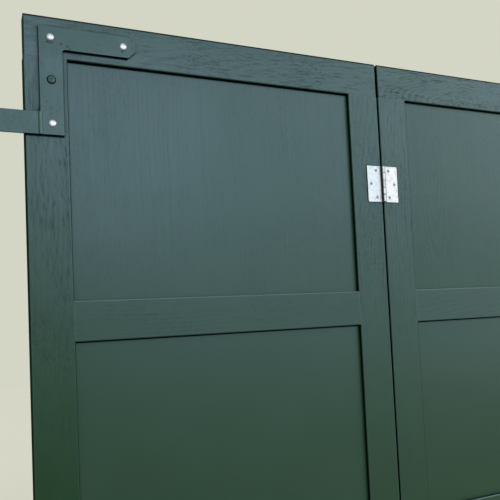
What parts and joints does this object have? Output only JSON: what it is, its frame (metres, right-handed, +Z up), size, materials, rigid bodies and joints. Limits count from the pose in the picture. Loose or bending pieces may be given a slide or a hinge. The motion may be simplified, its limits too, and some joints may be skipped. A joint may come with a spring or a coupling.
{
  "type": "folding panelled shutter pair",
  "caption": "Dark green timber shutters in two folding framed leaves with flat recessed panels, welded flat-bar strap hinges on wall pintles, and zinc butt hinges between the leaves",
  "frame": {"origin": "middle of the lower pintle's four wall holes, on the wall plane", "axes": "+X along the wall from the hanging side to the free side, +Y into the wall, +Z up; the outer faces look along -Y"},
  "size_m": [1.602, 0.0681, 1.581],
  "materials": {
    "stiles_and_rails": "dark green satin paint with the grain showing through",
    "panels": "dark green satin paint, flat board",
    "painted_iron": "dark green satin paint over welded flat bar",
    "galvanised_iron": "dull galvanised",
    "zinc_hinges": "bright zinc plated, rubbed",
    "zinc_fixings": "bright zinc plated"
  },
  "bodies": {
    "wall_pintles": {"pintle_top": "galvanised_iron", "pintle_bottom": "galvanised_iron"},
    "left_leaf": {"left_leaf_hanging_stile": "stiles_and_rails", "left_leaf_meeting_stile": "stiles_and_rails", "left_leaf_top_rail": "stiles_and_rails", "left_leaf_upper_middle_rail": "stiles_and_rails", "left_leaf_lower_middle_rail": "stiles_and_rails", "left_leaf_bottom_rail": "stiles_and_rails", "left_leaf_upper_panel": "panels", "left_leaf_middle_panel": "panels", "left_leaf_lower_panel": "panels", "strap_top": "painted_iron", "strap_bottom": "painted_iron", "strap_bolts": "zinc_fixings", "strap_washers": "zinc_fixings", "strap_nuts": "zinc_fixings", "strap_screws": "painted_iron", "hinge_top_left_plate": "zinc_hinges", "hinge_bottom_left_plate": "zinc_hinges", "hinge_top_pin": "zinc_hinges", "hinge_bottom_pin": "zinc_hinges", "hinge_screws_left": "zinc_fixings"},
    "right_leaf": {"right_leaf_meeting_stile": "stiles_and_rails", "right_leaf_free_stile": "stiles_and_rails", "right_leaf_top_rail": "stiles_and_rails", "right_leaf_upper_middle_rail": "stiles_and_rails", "right_leaf_lower_middle_rail": "stiles_and_rails", "right_leaf_bottom_rail": "stiles_and_rails", "right_leaf_upper_panel": "panels", "right_leaf_middle_panel": "panels", "right_leaf_lower_panel": "panels", "hinge_top_right_plate": "zinc_hinges", "hinge_bottom_right_plate": "zinc_hinges", "hinge_screws_right": "zinc_fixings"}
  },
  "joints": [
    {"name": "leaf_swing", "type": "hinge", "parent": "wall_pintles", "child": "left_leaf", "pos_m": [0, -0.05608, 1.189], "axis": [0, 0, -1], "range_deg": [0, 180]},
    {"name": "leaf_fold", "type": "hinge", "parent": "left_leaf", "child": "right_leaf", "pos_m": [0.822, -0.0485, 1.154], "axis": [0, 0, -1], "range_deg": [0, 180]}
  ]
}
